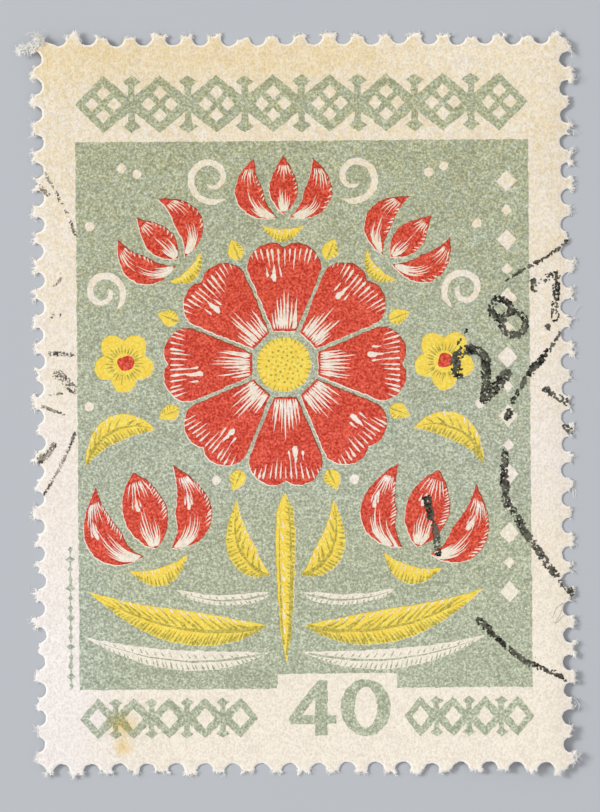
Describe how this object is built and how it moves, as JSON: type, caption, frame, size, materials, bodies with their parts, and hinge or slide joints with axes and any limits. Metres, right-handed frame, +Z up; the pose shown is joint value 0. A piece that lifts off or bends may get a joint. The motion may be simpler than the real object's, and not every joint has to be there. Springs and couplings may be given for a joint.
{
  "type": "postage stamp",
  "caption": "Perforated rectangular paper postage stamp with a printed floral panel, ornament bands and a plain numeral, lying flat and face up.",
  "frame": {"origin": "centre of the back face's bounding rectangle, on the surface that the stamp lies on", "axes": "+X across the stamp's width to the right, +Y up the printed picture, +Z up out of the printed face"},
  "size_m": [0.0284, 0.0388, 0.0001],
  "materials": {
    "stamp_paper": "matt uncoated stamp paper, toned along its top edge, with torn fibrous teeth",
    "sage_ink": "matt grey-green printing ink film, finely speckled, absorbed in the paper",
    "red_ink": "matt orange-red printing ink film with a fine grain, absorbed in the paper",
    "yellow_ink": "matt warm yellow printing ink film, absorbed in the paper"
  },
  "bodies": {
    "root": {"bud_cup_left": "yellow_ink", "bud_cup_right": "yellow_ink", "bud_inner_left": "red_ink", "bud_inner_right": "red_ink", "bud_middle_left": "red_ink", "bud_middle_right": "red_ink", "bud_outer_left": "red_ink", "bud_outer_right": "red_ink", "floret_left": "yellow_ink", "floret_right": "yellow_ink", "footer_band_left": "sage_ink", "footer_band_right": "sage_ink", "header_band": "sage_ink", "lower_leaf_left": "yellow_ink", "lower_leaf_right": "yellow_ink", "margin_bead_line": "sage_ink", "numeral_four": "sage_ink", "numeral_zero": "sage_ink", "paper_sheet": "stamp_paper", "rose_eye": "yellow_ink", "rose_petal_1": "red_ink", "rose_petal_2": "red_ink", "rose_petal_3": "red_ink", "rose_petal_4": "red_ink", "rose_petal_5": "red_ink", "rose_petal_6": "red_ink", "rose_petal_7": "red_ink", "rose_petal_8": "red_ink", "rose_sepal_1": "yellow_ink", "rose_sepal_2": "yellow_ink", "rose_sepal_3": "yellow_ink", "rose_sepal_4": "yellow_ink", "rose_sepal_5": "yellow_ink", "rose_sepal_6": "yellow_ink", "rose_sepal_7": "yellow_ink", "rose_sepal_8": "yellow_ink", "sage_panel": "sage_ink", "side_leaf_left": "yellow_ink", "side_leaf_right": "yellow_ink", "stem": "yellow_ink", "top_tulip_cup": "yellow_ink", "top_tulip_middle": "red_ink", "top_tulip_petal_left": "red_ink", "top_tulip_petal_right": "red_ink", "tulip_cup_left": "yellow_ink", "tulip_cup_right": "yellow_ink", "tulip_inner_left": "red_ink", "tulip_inner_right": "red_ink", "tulip_middle_left": "red_ink", "tulip_middle_right": "red_ink", "tulip_outer_left": "red_ink", "tulip_outer_right": "red_ink", "upper_leaf_left": "yellow_ink", "upper_leaf_right": "yellow_ink"}
  },
  "joints": []
}
